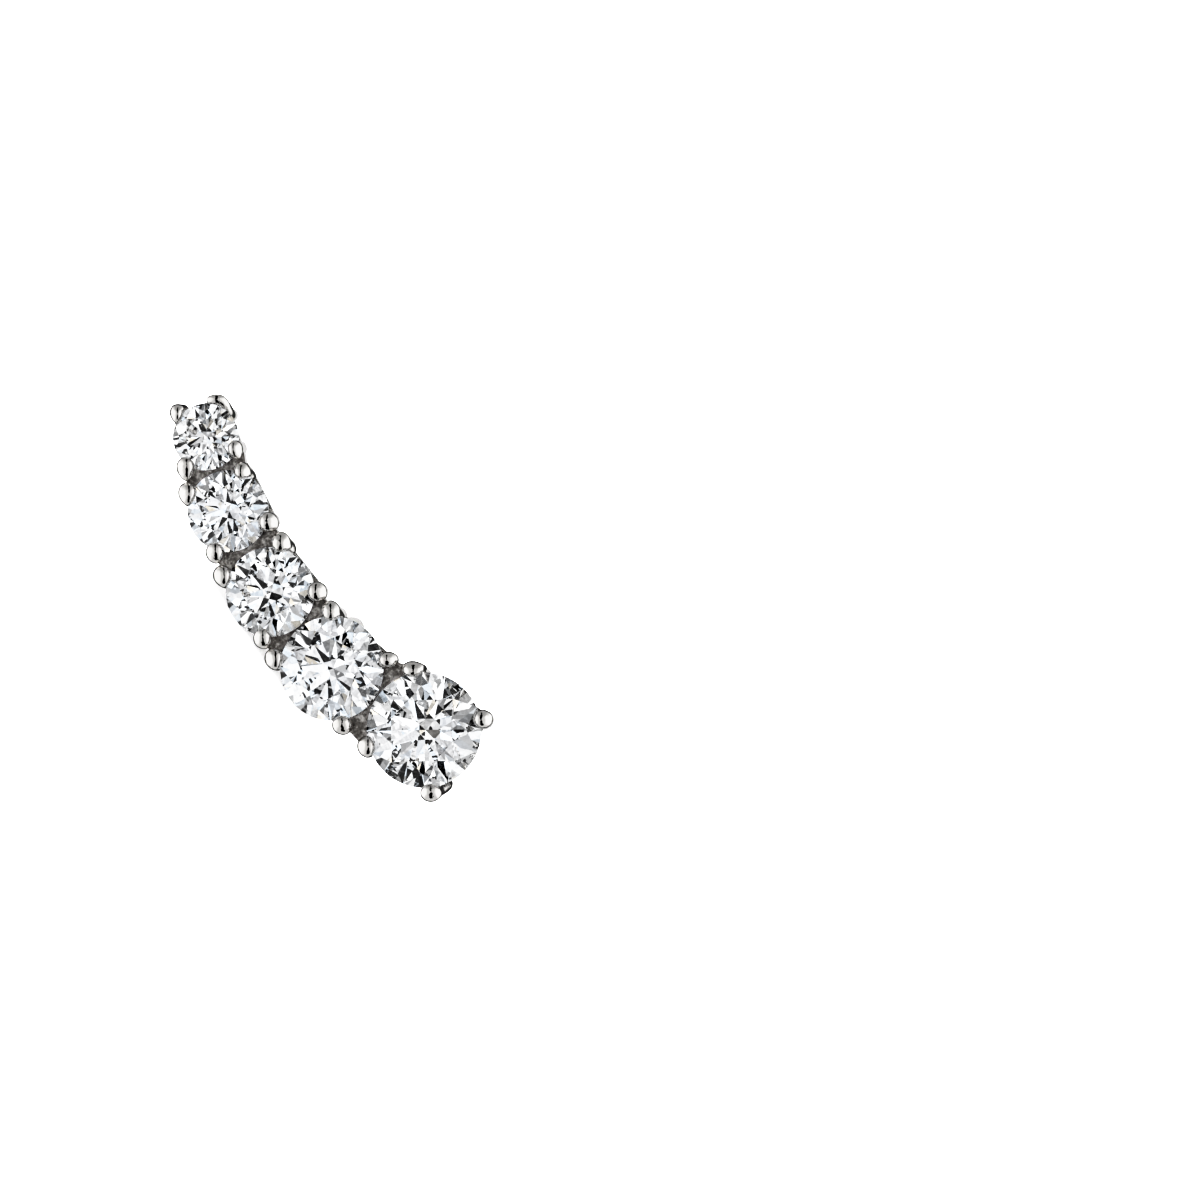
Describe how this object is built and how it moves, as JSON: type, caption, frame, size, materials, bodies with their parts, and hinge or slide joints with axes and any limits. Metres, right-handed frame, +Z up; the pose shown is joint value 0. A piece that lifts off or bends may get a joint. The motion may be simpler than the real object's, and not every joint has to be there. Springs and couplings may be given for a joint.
{
  "type": "ear climber",
  "caption": "Curved row of graduated round brilliant stones in a shared prong setting that follows the ear's edge, with a straight post behind it.",
  "frame": {"origin": "on the ground under the middle of the part's bounding box, as it rests by itself", "axes": "+X to the right of the face, the way that the row runs from its smallest stone to its largest, +Y from the face back along the post, +Z up"},
  "size_m": [0.0154, 0.0124, 0.0051],
  "materials": {
    "white_gold": "polished prongs and walls, satin web between the stones",
    "post_gold": "plain polished",
    "diamond": "clear, faceted and polished"
  },
  "bodies": {
    "root": {"setting": "white_gold", "ear_post": "post_gold", "stone_1": "diamond", "stone_2": "diamond", "stone_3": "diamond", "stone_4": "diamond", "stone_5": "diamond"}
  },
  "joints": []
}
